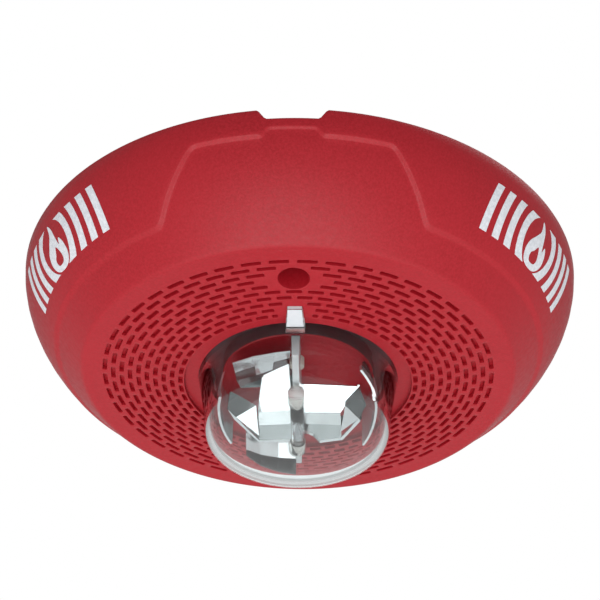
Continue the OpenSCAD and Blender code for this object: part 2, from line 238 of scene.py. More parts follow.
def smooth(x):
    x = clamp(x)
    return x * x * (3 - 2 * x)


def mix(a, b, t):
    return a + (b - a) * t


def polar(r, deg, z=0.0):
    a = math.radians(deg)
    return (r * math.cos(a), r * math.sin(a), z)


def circle(r, count, centre=(0, 0)):
    turns = [math.radians(360 * i / count) for i in range(count)]
    return [(centre[0] + r * math.cos(a), centre[1] + r * math.sin(a)) for a in turns]


def closed_circle(r, count):
    """A circle about the axis whose last point repeats its first."""
    run = circle(r, count)
    return run + run[:1]


class Shape:
    """Points and faces gathered in millimetres, then turned into one Blender piece."""

    def __init__(self):
        self.points = []
        self.faces = []
        self.kinds = []
        # Painted reflection and shade level of each face, when the piece has them
        self.painted_levels = None

    def point(self, p):
        self.points.append(tuple(p))
        return len(self.points) - 1

    def row(self, points):
        return [self.point(p) for p in points]

    def face(self, ids, kind=0):
        self.faces.append(tuple(ids))
        self.kinds.append(kind)

    def strip(self, a, b, kind=0):
        """Quads between two closed rows of the same length."""
        for i in range(len(a)):
            j = (i + 1) % len(a)
            self.face((a[i], a[j], b[j], b[i]), kind)

    def revolve(self, outline, columns, kind=0):
        """Turns an outline of (r, z) about the axis. A radius of 0 makes one point."""
        last = None
        for r, z in outline:
            if r < 1e-6:
                row = self.row([(0, 0, z)]) * columns
            else:
                row = self.row([(x, y, z) for x, y in circle(r, columns)])
            if last:
                for i in range(columns):
                    j = (i + 1) % columns
                    ring = list(dict.fromkeys((last[i], last[j], row[j], row[i])))
                    if len(ring) > 2:
                        self.face(ring, kind)
            last = row

    def loft(self, rows, kind=0):
        """A closed bar through rows of corners, with a flat face at both ends."""
        for a, b in zip(rows, rows[1:]):
            self.strip(a, b, kind)
        self.face(rows[0], kind)
        self.face(rows[-1], kind)

    def make(self, name, materials, body, replaces=(), sharp=35, bevel=0.0, joined=True):
        """Builds the piece. Sharp is the angle from which an edge stays hard, bevel rounds those
        edges, and joined merges points that meet."""
        mesh = bpy.data.meshes.new(name)
        mesh.from_pydata([Vector(p) * MM for p in self.points], [], self.faces)
        for material in materials:
            mesh.materials.append(material)
        for polygon, kind in zip(mesh.polygons, self.kinds):
            polygon.material_index = kind
        # Per-face painted reflection and shade levels, read by the mirror material
        if self.painted_levels:
            mesh.attributes.new("painted_facet_light", "FLOAT", "FACE").data.foreach_set("value", self.painted_levels)
        bm = bmesh.new()
        bm.from_mesh(mesh)
        if joined:
            bmesh.ops.remove_doubles(bm, verts=bm.verts, dist=MERGE * MM)
        bmesh.ops.recalc_face_normals(bm, faces=bm.faces)
        if bevel:
            edges = [edge for edge in bm.edges
                     if edge.is_manifold and edge.calc_face_angle(0) > math.radians(sharp)]
            bmesh.ops.bevel(bm, geom=edges, offset=bevel * MM, segments=2, profile=0.5,
                            affect="EDGES", clamp_overlap=True)
        bm.to_mesh(mesh)
        bm.free()
        mesh.shade_smooth()
        mesh.set_sharp_from_angle(angle=math.radians(sharp))
        piece = bpy.data.objects.new(name, mesh)
        bpy.context.scene.collection.objects.link(piece)
        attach(piece, body)
        if replaces:
            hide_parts(*replaces)


# Materials ------------------------------------------------------------------------------------

class Finish:
    """A node material: one Principled shader, with its colour, roughness and bump from nodes."""

    def __init__(self, name, roughness=0.4, metallic=0.0, **sockets):
        self.material = bpy.data.materials.new(name)
        self.material.use_nodes = True
        self.nodes = self.material.node_tree.nodes
        self.links = self.material.node_tree.links
        self.shader = self.nodes["Principled BSDF"]
        self.place = self.nodes.new("ShaderNodeTexCoord").outputs["Object"]
        self.shader.inputs["Metallic"].default_value = metallic
        self.shader.inputs["Roughness"].default_value = roughness
        for socket, value in sockets.items():
            self.shader.inputs[socket.replace("_", " ")].default_value = value
        self.height = None

    def node(self, kind, inputs=None, **settings):
        made = self.nodes.new(kind)
        for key, value in settings.items():
            setattr(made, key, value)
        for key, value in (inputs or {}).items():
            if isinstance(value, bpy.types.NodeSocket):
                self.links.new(value, made.inputs[key])
            else:
                made.inputs[key].default_value = value
        return made

    def noise(self, scale, detail=3.0, rough=0.55, stretch=None):
        place = self.place
        if stretch:
            inputs = {"Vector": place, "Scale": stretch}
            place = self.node("ShaderNodeMapping", inputs).outputs["Vector"]
        inputs = {"Vector": place, "Scale": scale, "Detail": detail, "Roughness": rough}
        return self.node("ShaderNodeTexNoise", inputs).outputs["Fac"]

    def cells(self, scale):
        """Distance to the nearest of many scattered points, with soft borders."""
        inputs = {"Vector": self.place, "Scale": scale}
        return self.node("ShaderNodeTexVoronoi", inputs, feature="SMOOTH_F1").outputs["Distance"]

    def wave(self, scale, direction):
        inputs = {"Vector": self.place, "Scale": scale, "Distortion": 0.4}
        return self.node("ShaderNodeTexWave", inputs, bands_direction=direction).outputs["Fac"]

    def remap(self, value, from_low, from_high, to_low, to_high):
        inputs = {"Value": value, "From Min": from_low, "From Max": from_high,
                  "To Min": to_low, "To Max": to_high}
        return self.node("ShaderNodeMapRange", inputs).outputs["Result"]

    def sum(self, a, b):
        """Two values added and held between 0 and 1."""
        made = self.node("ShaderNodeMath", {0: a, 1: b}, operation="ADD", use_clamp=True)
        return made.outputs["Value"]

    def times(self, a, b):
        return self.node("ShaderNodeMath", {0: a, 1: b}, operation="MULTIPLY").outputs["Value"]

    def blend(self, factor, a, b):
        """Mixes two colours, given as tuples or sockets, by a factor socket."""
        made = self.nodes.new("ShaderNodeMix")
        made.data_type = "RGBA"
        self.links.new(factor, made.inputs["Factor"])
        for socket, value in ((made.inputs[6], a), (made.inputs[7], b)):
            if isinstance(value, bpy.types.NodeSocket):
                self.links.new(value, socket)
            else:
                socket.default_value = (*value, 1.0)
        return made.outputs[2]

    def colour(self, source):
        self.links.new(source, self.shader.inputs["Base Color"])
        return self

    def roughness(self, source):
        self.links.new(source, self.shader.inputs["Roughness"])
        return self

    def bump(self, source, distance, strength=1.0):
        """Adds one layer of bump, distance in millimetres."""
        inputs = {"Height": source, "Distance": distance * MM, "Strength": strength}
        if self.height:
            inputs["Normal"] = self.height
        self.height = self.node("ShaderNodeBump", inputs).outputs["Normal"]
        self.links.new(self.height, self.shader.inputs["Normal"])
        return self


def moulded(name, dark, light, roughness, grain, depth):
    """Textured moulded plastic: cloudy colour, uneven gloss and a fine spark-eroded grain, with
    its size and depth in millimetres."""
    made = Finish(name, roughness)
    cloud = made.remap(made.noise(38, 4), 0.3, 0.7, 0, 1)
    made.colour(made.blend(cloud, dark, light))
    made.roughness(made.remap(made.noise(260, 3), 0.3, 0.7, roughness - 0.06, roughness + 0.07))
    fine = made.noise(1 / (grain * MM), 2.5, 0.6)
    return made.bump(fine, depth).material


def metal(name, dark, light, roughness, stretch=None, scale=900):
    """Bare or plated metal with fine working marks and slight tarnish."""
    made = Finish(name, roughness, 1.0)
    marks = made.noise(scale, 4, 0.6, stretch)
    made.colour(made.blend(made.remap(made.noise(120, 4), 0.3, 0.7, 0, 1), dark, light))
    made.roughness(made.remap(marks, 0.3, 0.7, roughness * 0.7, roughness * 1.35))
    return made.bump(marks, 0.01).material


def red_plastic():
    made = Finish("red_plastic", 0.4, Specular_IOR_Level=0.3)
    cloud = made.remap(made.noise(30, 4), 0.3, 0.7, 0, 1)
    speck = made.remap(made.noise(1400, 2), 0.35, 0.65, 0, 1)
    base = made.blend(cloud, (0.31, 0.005, 0.011), (0.35, 0.007, 0.014))
    made.colour(made.blend(speck, base, (0.38, 0.009, 0.018)))
    made.roughness(made.remap(made.noise(700, 3), 0.3, 0.7, 0.36, 0.5))
    made.bump(made.noise(2100, 2, 0.5), 0.035)
    return made.bump(made.cells(900), 0.02).material


def ink():
    made = Finish("white_ink", 0.5, Specular_IOR_Level=0.4)
    wear = made.remap(made.noise(900, 5, 0.65), 0.42, 0.62, 0, 1)
    made.colour(made.blend(wear, (0.62, 0.64, 0.68), (0.74, 0.76, 0.80)))
    made.roughness(made.remap(made.noise(400, 3), 0.3, 0.7, 0.42, 0.6))
    return made.bump(made.noise(2400, 2), 0.012).material


def clear_lens():
    made = Finish("clear_lens", 0.03, Transmission_Weight=1.0, IOR=1.49, Specular_IOR_Level=0.5)
    haze = made.noise(60, 3)
    made.colour(made.blend(haze, (0.93, 0.975, 0.98), (0.95, 0.985, 0.99)))
    made.roughness(made.remap(made.noise(150, 4), 0.35, 0.7, 0.01, 0.035))
    return made.bump(made.noise(22, 2), 0.05, 0.4).material


def frosted_lens():
    made = Finish("frosted_lens", 0.45, Transmission_Weight=0.25, IOR=1.49)
    made.colour(made.blend(made.noise(300, 3), (0.72, 0.76, 0.80), (0.86, 0.89, 0.92)))
    made.roughness(made.remap(made.noise(900, 3), 0.3, 0.7, 0.35, 0.6))
    return made.bump(made.noise(1800, 2), 0.03).material


def mirror():
    """Vacuum metallised plastic. Its colour is painted reflection and painted shade, set facet by
    facet from a face attribute, from near black to near white.
    """
    made = Finish("vacuum_metallised", 0.12, 0.75)
    painted_facet_light = made.node("ShaderNodeAttribute", attribute_name="painted_facet_light").outputs["Fac"]
    uneven = made.remap(made.noise(90, 4), 0.3, 0.7, -0.06, 0.06)
    # Dark green-grey to near white by the facet attribute: painted shade and painted reflection, with
    # a little random unevenness.
    made.colour(made.blend(made.sum(painted_facet_light, uneven), (0.012, 0.022, 0.020), (0.90, 0.94, 0.95)))
    made.roughness(made.remap(made.noise(350, 4), 0.3, 0.7, 0.08, 0.2))
    return made.bump(made.noise(160, 2), 0.02, 0.5).material


def web_plastic():
    made = Finish("web_plastic", 0.15, Transmission_Weight=0.15, IOR=1.49)
    made.colour(made.blend(made.noise(120, 3), (0.80, 0.84, 0.85), (0.93, 0.95, 0.96)))
    made.roughness(made.remap(made.noise(500, 3), 0.3, 0.7, 0.08, 0.25))
    return made.bump(made.noise(300, 2), 0.03).material


def tube_glass():
    made = Finish("tube_glass", 0.02, Transmission_Weight=1.0, IOR=1.47)
    made.colour(made.blend(made.noise(200, 2), (0.96, 0.98, 1.0), (0.99, 0.99, 1.0)))
    made.roughness(made.remap(made.noise(400, 2), 0.3, 0.7, 0.01, 0.05))
    return made.material


def woven_screen():
    made = Finish("dust_cloth", 0.85)
    weave = made.times(made.wave(420, "X"), made.wave(420, "Y"))
    made.colour(made.blend(weave, (0.010, 0.010, 0.011), (0.05, 0.05, 0.055)))
    return made.bump(weave, 0.12).material


def circuit_green():
    made = Finish("circuit_green", 0.35)
    lanes = made.node("ShaderNodeTexBrick", {
        "Vector": made.place, "Scale": 220.0, "Mortar Size": 0.05,
        "Brick Width": 0.9, "Row Height": 0.28,
        "Color1": (0.010, 0.075, 0.025, 1), "Color2": (0.014, 0.10, 0.035, 1),
        "Mortar": (0.03, 0.17, 0.06, 1)}, offset=0.37)
    made.colour(lanes.outputs["Color"])
    made.roughness(made.remap(made.noise(400, 3), 0.3, 0.7, 0.28, 0.45))
    return made.bump(lanes.outputs["Fac"], 0.03).material


RED = red_plastic()
INK = ink()
LENS = clear_lens()
FROST = frosted_lens()
MIRROR = mirror()
WEB = web_plastic()
GLASS = tube_glass()
SCREEN = woven_screen()
BOARD = circuit_green()
PLATE = moulded("plate_plastic", (0.66, 0.66, 0.63), (0.74, 0.74, 0.71), 0.46, 0.6, 0.03)
COVER = moulded("cover_plastic", (0.055, 0.055, 0.058), (0.085, 0.085, 0.088), 0.5, 0.7, 0.04)
BLOCK = moulded("block_plastic", (0.025, 0.026, 0.028), (0.045, 0.046, 0.05), 0.42, 0.5, 0.03)
KNOB = moulded("knob_plastic", (0.70, 0.69, 0.64), (0.80, 0.79, 0.75), 0.38, 0.5, 0.02)
GROMMET = moulded("grommet_rubber", (0.55, 0.53, 0.47), (0.66, 0.64, 0.58), 0.62, 0.4, 0.03)
SLEEVE = moulded("shrink_sleeve", (0.010, 0.018, 0.07), (0.02, 0.032, 0.11), 0.3, 1.2, 0.02)
FERRITE = moulded("ferrite", (0.03, 0.028, 0.027), (0.06, 0.055, 0.05), 0.65, 0.25, 0.05)
CHIP = moulded("chip_epoxy", (0.012, 0.012, 0.013), (0.025, 0.025, 0.027), 0.55, 0.2, 0.02)
PIEZO = moulded("piezo_ceramic", (0.72, 0.70, 0.64), (0.82, 0.80, 0.75), 0.6, 0.2, 0.02)
BRASS = metal("brass", (0.62, 0.42, 0.15), (0.80, 0.58, 0.24), 0.28)
STEEL = metal("zinc_steel", (0.50, 0.51, 0.53), (0.68, 0.69, 0.70), 0.3)
SPRING = metal("spring_steel", (0.36, 0.37, 0.39), (0.55, 0.56, 0.58), 0.24, (1, 6, 1))
TUBE_METAL = metal("nickel", (0.60, 0.58, 0.54), (0.78, 0.76, 0.72), 0.18)
COPPER = metal("copper_winding", (0.50, 0.18, 0.06), (0.70, 0.30, 0.12), 0.3, (1, 1, 30), 300)

SLOT_FINISH = {
    "housing": RED, "lens": LENS, "reflector": MIRROR, "tube_glass": GLASS,
    "tube_metal": TUBE_METAL, "grommet": GROMMET, "plate": PLATE, "block": BLOCK, "brass": BRASS,
    "screw_steel": STEEL,
    "spring_steel": SPRING, "coil": COPPER, "board": BOARD, "sleeve": SLEEVE, "ferrite": FERRITE,
    "chip": CHIP, "piezo": PIEZO, "screen": SCREEN, "cover": COVER, "knob": KNOB,
}


def dress_frame():
    """Gives every CAD node the finish of its own material slot, and small rounded edges."""
    for name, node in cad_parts.items():
        for place in node.material_slots:
            place.material = SLOT_FINISH[place.material.name.split(".")[0]]
        weld = node.modifiers.new("weld", "WELD")
        weld.merge_threshold = WELD * MM
        bevel = node.modifiers.new("edges", "BEVEL")
        bevel.width = EDGE_ROUND.get(name, EDGE_ROUND_USUAL) * MM
        bevel.segments = 2
        bevel.limit_method = "ANGLE"
        bevel.angle_limit = math.radians(40)
        bevel.harden_normals = True


# Housing: side wall, rim and band -------------------------------------------------------------

def away(deg):
    """Angle from the nearer of the two notches, 0 to 90."""
    return abs(deg % 180 - 90)


def wall_r(depth):
    """Radius of the wall under the band, at a depth below the rim."""
    return TOP_R - (TOP_R - FACE_R) * (max(depth, 0) / WALL_H) ** WALL_CURL


def eased(x, width):
    """x where it is positive and 0 elsewhere, rounded over the width at the bend."""
    if x < -width:
        return 0.0
    return x if x > width else (x + width) ** 2 / (4 * width)


def band_edge(deg):
    """Depth of the band's lower edge below the rim."""
    a = away(deg)
    slope = (BAND_DEEP - BAND_SHALLOW) / (RAMP_END - RAMP_START)
    climb = slope * (eased(a - RAMP_START, RAMP_SOFT_TOP) - eased(a - RAMP_END, RAMP_SOFT_FOOT))
    return BAND_SHALLOW + climb - POCKET_RISE * (1 - smooth((a - POCKET_HALF) / POCKET_EASE))


def band_lean(deg):
    """How steeply the band's lower edge runs, as depth per length along the wall."""
    step = 0.2
    return (band_edge(deg + step) - band_edge(deg - step)) / (math.radians(2 * step) * TOP_R)


def rim_cut(deg):
    """How deep the rim is cut away by a notch."""
    return NOTCH_H * (1 - clamp((away(deg) - NOTCH_FLOOR) / (NOTCH_LIP - NOTCH_FLOOR)))


def band_height(deg):
    """How far the band stands out from the wall, less where it passes under a notch."""
    return BAND_PROUD * mix(PROUD_SHARE, 1.0, smooth((away(deg) - PROUD_START) / PROUD_EASE))


def wall_column(deg):
    """Points of one section of the wall, from the inside of the face, over the rim, to the face."""
    proud = band_height(deg)
    top = rim_cut(deg)
    edge = band_edge(deg)
    half = CREASE_HALF * math.hypot(1, band_lean(deg))
    rows = []
    deep = WALL_H - WALL_T
    for i in range(INNER_ROWS):
        depth = mix(deep, top + LIP, i / (INNER_ROWS - 1))
        rows.append((wall_r(depth) - WALL_T, depth))
    inner = wall_r(top) - WALL_T
    outer = wall_r(top) + proud
    soft = LIP * ARC_SHARE
    rows += [(inner + soft, top + soft), (inner + LIP, top), (outer - LIP, top),
             (outer - soft, top + soft)]
    for i in range(BAND_ROWS):
        depth = mix(top + LIP, edge - half, i / (BAND_ROWS - 1))
        rows.append((wall_r(depth) + proud, depth))
    for i in range(1, CREASE_ROWS + 1):
        t = i / CREASE_ROWS
        depth = mix(edge - half, edge + half, t)
        rows.append((wall_r(depth) + proud * (1 - smooth(t)), depth))
    last = WALL_H - CORNER
    for i in range(1, LOWER_ROWS + 1):
        depth = mix(edge + half, last, i / LOWER_ROWS)
        rows.append((wall_r(depth), depth))
    start = (wall_r(last), last)
    for i in range(1, CORNER_ROWS + 1):
        t = i / CORNER_ROWS
        r = start[0] * (1 - t) ** 2 + 2 * FACE_R * t * (1 - t) + (FACE_R - CORNER) * t ** 2
        depth = start[1] * (1 - t) ** 2 + 2 * WALL_H * t * (1 - t) + WALL_H * t ** 2
        rows.append((r, depth))
    return [polar(r, deg, RIM_Z - depth) for r, depth in rows]


def add_wall(shape):
    """The side wall with the band, the rim and its notches, as rings through every section."""
    columns = [wall_column(360 * i / WALL_COLUMNS) for i in range(WALL_COLUMNS)]
    last = None
    for points in zip(*columns):
        row = shape.row(points)
        if last:
            shape.strip(last, row)
        last = row


# Housing: face, grille and well ---------------------------------------------------------------

def face_height(r):
    """Outside of the face: flat near the wall, then a shallow cone down to the recess."""
    if r >= CONE_R:
        return FACE_Z
    return FACE_Z - CONE_DROP * (CONE_R - r) / (CONE_R - RECESS_R)


def inside_height(r):
    """Inside of the face, one wall thickness above it, and of the floor under the lens."""
    if PEDESTAL_R - PEDESTAL_WALL < r < GROOVE_R + INSIDE_WALL:
        return GROOVE_Z + GROOVE_T
    if r <= RECESS_R + INSIDE_WALL:
        return FLOOR_Z + WALL_T
    return max(face_height(r), CONE_Z + 0.2) + WALL_T


def sheet(shape, loops, rings, height, inner_r=0.0):
    """Fills between closed loops of (x, y) with triangles. The first loop is the outer edge, the
    others are holes. Rings are open runs of points that the triangles follow. A ring at inner_r
    is the inner edge, and nothing is filled within it."""
    points, edges, owner = [], [], []
    for index, loop in enumerate(loops):
        start = len(points)
        points += loop
        owner += [index] * len(loop)
        edges += [(start + i, start + (i + 1) % len(loop)) for i in range(len(loop))]
    for run in rings:
        start = len(points)
        points += run
        owner += [-1] * len(run)
        edges += [(start + i, start + i + 1) for i in range(len(run) - 1)]
    out, _, triangles, origin, _, _ = geometry.delaunay_2d_cdt(
        [Vector(p) for p in points], edges, [], 0, 1e-6, True)
    ids = shape.row([(p.x, p.y, height(p.length)) for p in out])
    owners = [owner[o[0]] if o else -1 for o in origin]
    nearest = {i: min(math.hypot(*p) for p in loops[i]) for i in range(1, len(loops))}
    for triangle in triangles:
        if max(out[i].length for i in triangle) < inner_r + RING_SLACK:
            continue
        middle = sum((out[i] for i in triangle), Vector((0, 0))) / 3
        holes = {owners[i] for i in triangle}
        hole = holes.pop()
        if not holes and hole > 0 and middle.length > nearest[hole]:
            continue
        shape.face([ids[i] for i in triangle])


def slot_outline(r, deg, half_deg, grow):
    """Closed loop round one slot: two arcs about the axis joined by rounded corners."""
    half = SLOT_W / 2 + grow
    reach = math.radians(half_deg) * r + grow
    bend = SLOT_CORNER + grow
    loop = []
    for side_r, side_a in ((1, 1), (-1, 1), (-1, -1), (1, -1)):
        mid = ((half - bend) * side_r, (reach - bend) * side_a)
        run = []
        for i in range(CORNER_POINTS):
            a = math.radians(90 * i / (CORNER_POINTS - 1))
            u, v = bend * math.cos(a), bend * math.sin(a)
            if side_r * side_a < 0:
                u, v = bend * math.sin(a), bend * math.cos(a)
            run.append((mid[0] + side_r * u, mid[1] + side_a * v))
        loop += run
        if side_r != side_a:
            loop.append((side_r * half, 0.0))
    return [polar(r + u, deg + math.degrees(v / r))[:2] for u, v in loop]


def slots():
    """(radius, angle, half length as an angle) of every slot in the grille."""
    for row in range(ROWS):
        r = ROW_R + row * ROW_PITCH
        for i in range(SLOTS):
            place = i + (row % 2) / 2
            place = place - SLOTS if place > SLOTS / 2 else place
            if place in MISSING.get(row, ()):
                continue
            half = SLOT_STEP * SLOT_SHARE / 2
            deg = 270 + place * SLOT_STEP
            if row == 0 and abs(place) == 1:
                short = math.degrees(SHORT_SLOT / r) / 2
                deg += math.copysign(half - short, place)
                half = short
            yield r, deg, half


def add_slotted_face(shape):
    """The visible side of the face, with every slot as a blind pocket and a hole for the well."""
    loops = [circle(FACE_R - CORNER, WALL_COLUMNS)]
    pockets = []
    for r, deg, half in slots():
        outer, middle, inner = (slot_outline(r, deg, half, SLOT_LIP * g) for g in (1, LIP_MIDDLE, 0))
        loops.append(outer)
        pockets.append((outer, ((middle, LIP_MIDDLE * SLOT_LIP), (inner, SLOT_LIP),
                                (inner, SLOT_DEPTH))))
    loops.append(circle(WELL_R + WELL_LIP, WELL_COLUMNS, WELL))
    rings = []
    lanes = (ROW_R + (k + 0.5) * ROW_PITCH for k in range(ROWS))
    for r in (*(FACE_R - inset for inset in EDGE_RINGS), *lanes):
        run = []
        for x, y in closed_circle(r, FACE_COLUMNS):
            if math.hypot(x - WELL[0], y - WELL[1]) > WELL_R + WELL_LIP + WELL_GAP:
                run.append((x, y))
            elif run:
                rings.append(run)
                run = []
        rings.append(run)
    rings.append(closed_circle(FACE_INNER_R, FACE_COLUMNS))
    sheet(shape, loops, rings, face_height, FACE_INNER_R)
    for outer, levels in pockets:
        last = shape.row([(x, y, face_height(math.hypot(x, y))) for x, y in outer])
        for loop, rise in levels:
            row = shape.row([(x, y, face_height(math.hypot(x, y)) + rise) for x, y in loop])
            shape.strip(last, row)
            last = row
        shape.face(last)


def add_recess(shape):
    """The sunk floor round the lens, its groove in the dark kind as painted shade where the dark
    inside shows under the lens foot, and the pedestal inside it.
    """
    outer = [(FACE_INNER_R, face_height(FACE_INNER_R)),
             (RECESS_R + 0.3 * SOFT, CONE_Z + 0.2 * SOFT), (RECESS_R, CONE_Z + SOFT),
             (RECESS_R, FLOOR_Z - SOFT), (RECESS_R - SOFT, FLOOR_Z), (GROOVE_R, FLOOR_Z)]
    groove = [(GROOVE_R, FLOOR_Z), (GROOVE_R, GROOVE_Z), (PEDESTAL_R, GROOVE_Z),
              (PEDESTAL_R, FLOOR_Z + SOFT)]
    pedestal = [(PEDESTAL_R, FLOOR_Z + SOFT), (PEDESTAL_R - SOFT, FLOOR_Z), (FLOOR_RINGS[0], FLOOR_Z),
                (0, FLOOR_Z)]
    shape.revolve(outer, FACE_COLUMNS)
    # The groove's dark cover finish is painted shade
    shape.revolve(groove, FACE_COLUMNS, 1)
    shape.revolve(pedestal, FACE_COLUMNS)


def add_well(shape):
    """The screw's well, from the face up to its seat and down its outside to the inner sheet."""
    soft = WELL_LIP * LIP_MIDDLE
    rows = [(WELL_R + WELL_LIP, None, 0), (WELL_R + soft, None, soft), (WELL_R, None, WELL_LIP),
            (WELL_R, SEAT_Z - SOFT, 0), (WELL_R - SOFT, SEAT_Z, 0),
            (WELL_BORE, SEAT_Z, 0), (WELL_BORE, SEAT_Z + SEAT_T, 0),
            (WELL_R + WELL_T, SEAT_Z + SEAT_T, 0), (WELL_R + WELL_T, WELL_FOOT, 0)]
    last = None
    for r, z, rise in rows:
        row = shape.row([(x, y, face_height(math.hypot(x, y)) + rise if z is None else z)
                         for x, y in circle(r, WELL_COLUMNS, WELL)])
        if last:
            shape.strip(last, row)
        last = row
    skin = circle(WELL_R + WELL_T, WELL_COLUMNS, WELL)
    shape.strip(last, shape.row([(x, y, inside_height(math.hypot(x, y))) for x, y in skin]))


def add_inside(shape):
    """The inner side of the face, from the wall to the well and over the groove."""
    depth = WALL_H - WALL_T
    foot = circle(wall_r(depth) - WALL_T, WALL_COLUMNS)
    shape.strip(shape.row([(x, y, RIM_Z - depth) for x, y in foot]),
                shape.row([(x, y, inside_height(math.hypot(x, y))) for x, y in foot]))
    steps = [r + side * RING_GAP for r in (RECESS_R + INSIDE_WALL, GROOVE_R + INSIDE_WALL,
                                           PEDESTAL_R - PEDESTAL_WALL) for side in (1, -1)]
    rings = [[p for p in closed_circle(r, INSIDE_COLUMNS)
              if math.hypot(p[0] - WELL[0], p[1] - WELL[1]) > WELL_R + WELL_T + INSIDE_GAP]
             for r in (CONE_R, *steps, FLOOR_RINGS[1])]
    sheet(shape, [foot, circle(WELL_R + WELL_T, WELL_COLUMNS, WELL)], rings, inside_height)


def add_hook_beads(shape):
    """Two rounded beads inside the rim that hang on the plate's grooves, each with its web."""
    for middle in (-BEAD_X, BEAD_X):
        rows = []
        for x, r in ((-BEAD_HALF, 0), (-BEAD_HALF, BEAD_END_R), (SOFT - BEAD_HALF, BEAD_R),
                     (BEAD_HALF - SOFT, BEAD_R), (BEAD_HALF, BEAD_END_R), (BEAD_HALF, 0)):
            rows.append(shape.row([(middle + x, BEAD_Y + y, BEAD_Z + z) for y, z in circle(r, 24)]))
        for a, b in zip(rows, rows[1:]):
            shape.strip(a, b)
        shape.loft([shape.row([(middle + x, y, z) for y, z in BEAD_WEB])
                    for x in (0.1 - BEAD_HALF, BEAD_HALF - 0.1)])


def make_housing():
    shape = Shape()
    add_wall(shape)
    add_slotted_face(shape)
    add_recess(shape)
    add_well(shape)
    add_inside(shape)
    add_hook_beads(shape)
    # The dark cover finish here paints the groove under the lens as painted shade
    shape.make("head_shell", [RED, COVER], "head", ["housing"], sharp=28)


# Housing: generic marks on the band -----------------------------------------------------------

def flame_outline():
    """A plain flame, 1 high, standing on 0."""
    keys = ((0.0, 0.0), (0.24, 0.04), (0.38, 0.2), (0.36, 0.42), (0.26, 0.56), (0.2, 0.44),
            (0.14, 0.62), (0.08, 0.84), (-0.06, 1.0), (-0.05, 0.78), (-0.18, 0.6), (-0.33, 0.42),
            (-0.36, 0.22), (-0.24, 0.05))
    return rounded_loop(keys)


def drop_outline():
    """The gap low in the flame."""
    keys = ((0.0, 0.1), (0.13, 0.14), (0.15, 0.27), (0.04, 0.46), (-0.06, 0.34), (-0.15, 0.25),
            (-0.12, 0.13))
    return rounded_loop(keys)


def rounded_loop(keys):
    """A closed Catmull-Rom curve through the points."""
    out = []
    count, steps = len(keys), 4
    for i in range(count):
        a, b, c, d = (keys[(i + k) % count] for k in (-1, 0, 1, 2))
        for s in range(steps):
            t = s / steps
            out.append(tuple(0.5 * (2 * b[k] + (c[k] - a[k]) * t
                                    + (2 * a[k] - 5 * b[k] + 4 * c[k] - d[k]) * t * t
                                    + (3 * b[k] - a[k] - 3 * c[k] + d[k]) * t ** 3) for k in (0, 1)))
    return out


def wave_outline(r, side):
    """A thick arc of radius r centred on the flame, cut off level above and below."""
    steps = 14
    far = r + WAVE_W
    outer = math.asin(min(MARK_H / 2 / far, 0.95))
    inner = math.asin(min(MARK_H / 2 / r, 0.98))
    run = [(side * far * math.cos(t), far * math.sin(t))
           for t in (mix(-outer, outer, i / steps) for i in range(steps + 1))]
    back = [(side * r * math.cos(t), r * math.sin(t))
            for t in (mix(inner, -inner, i / steps) for i in range(steps + 1))]
    return run + back


def inside_loop(p, loop):
    """Whether a point lies within a closed loop, by counting the sides to its right."""
    hit = False
    for (x0, y0), (x1, y1) in zip(loop, loop[1:] + loop[:1]):
        if (y0 > p[1]) != (y1 > p[1]) and p[0] < x0 + (p[1] - y0) * (x1 - x0) / (y1 - y0):
            hit = not hit
    return hit


def add_decal(shape, outline, hole, place):
    """A thin solid over an outline of (along, up) in millimetres, laid on the band by place()."""
    loops = [outline] + ([hole] if hole else [])
    points, edges = [], []
    for loop in loops:
        start = len(points)
        points += loop
        edges += [(start + i, start + (i + 1) % len(loop)) for i in range(len(loop))]
    border = list(points)
    xs, ys = [p[0] for p in outline], [p[1] for p in outline]
    for i in range(1, int((max(xs) - min(xs)) / INK_GRID) + 1):
        for j in range(1, int((max(ys) - min(ys)) / INK_GRID) + 1):
            p = (min(xs) + i * INK_GRID, min(ys) + j * INK_GRID)
            near = min(math.hypot(p[0] - q[0], p[1] - q[1]) for q in border)
            if near > INK_CLEAR and inside_loop(p, outline) and not (hole and inside_loop(p, hole)):
                points.append(p)
    out, _, triangles, _, _, _ = geometry.delaunay_2d_cdt(
        [Vector(p) for p in points], edges, [], 0, 1e-6, True)
    top = shape.row([place(p.x, p.y, INK_T) for p in out])
    low = shape.row([place(p.x, p.y, -INK_SUNK) for p in out])
    for triangle in triangles:
        middle = sum((out[i] for i in triangle), Vector((0, 0))) / 3
        if inside_loop(middle, outline) and not (hole and inside_loop(middle, hole)):
            shape.face([top[i] for i in triangle])
            shape.face([low[i] for i in reversed(triangle)])
    for loop in loops:
        a = shape.row([place(*p, INK_T) for p in loop])
        b = shape.row([place(*p, -INK_SUNK) for p in loop])
        shape.strip(a, b)


def make_marks():
    flame, drop = ([(x * MARK_H, (y - 0.5) * MARK_H) for x, y in outline]
                   for outline in (flame_outline(), drop_outline()))
    for name, mid in (("mark_left", 270 - MARK_MID), ("mark_right", 270 + MARK_MID)):
        shape = Shape()

        def place(along, up, lift, mid=mid):
            depth = MARK_DEPTH - up
            r = wall_r(depth) + BAND_PROUD
            return polar(r + lift, mid + math.degrees(along / r), RIM_Z - depth)

        add_decal(shape, flame, drop, place)
        for side in (-1, 1):
            for k in range(WAVES):
                add_decal(shape, wave_outline(WAVE_R + k * WAVE_PITCH, side), None, place)
        shape.make(name, [INK], "head", sharp=40)


# Lens -----------------------------------------------------------------------------------------

def dome(r, tip):
    """Outline from the neck to the tip."""
    out = []
    for i in range(DOME_STEPS + 1):
        a = math.radians(90 * i / DOME_STEPS)
        across = math.cos(a) if i < DOME_STEPS else 0.0
        z = LENS_NECK_Z - (LENS_NECK_Z - tip) * math.sin(a) ** DOME_POWER
        out.append((r * across ** DOME_POWER, z))
    return out


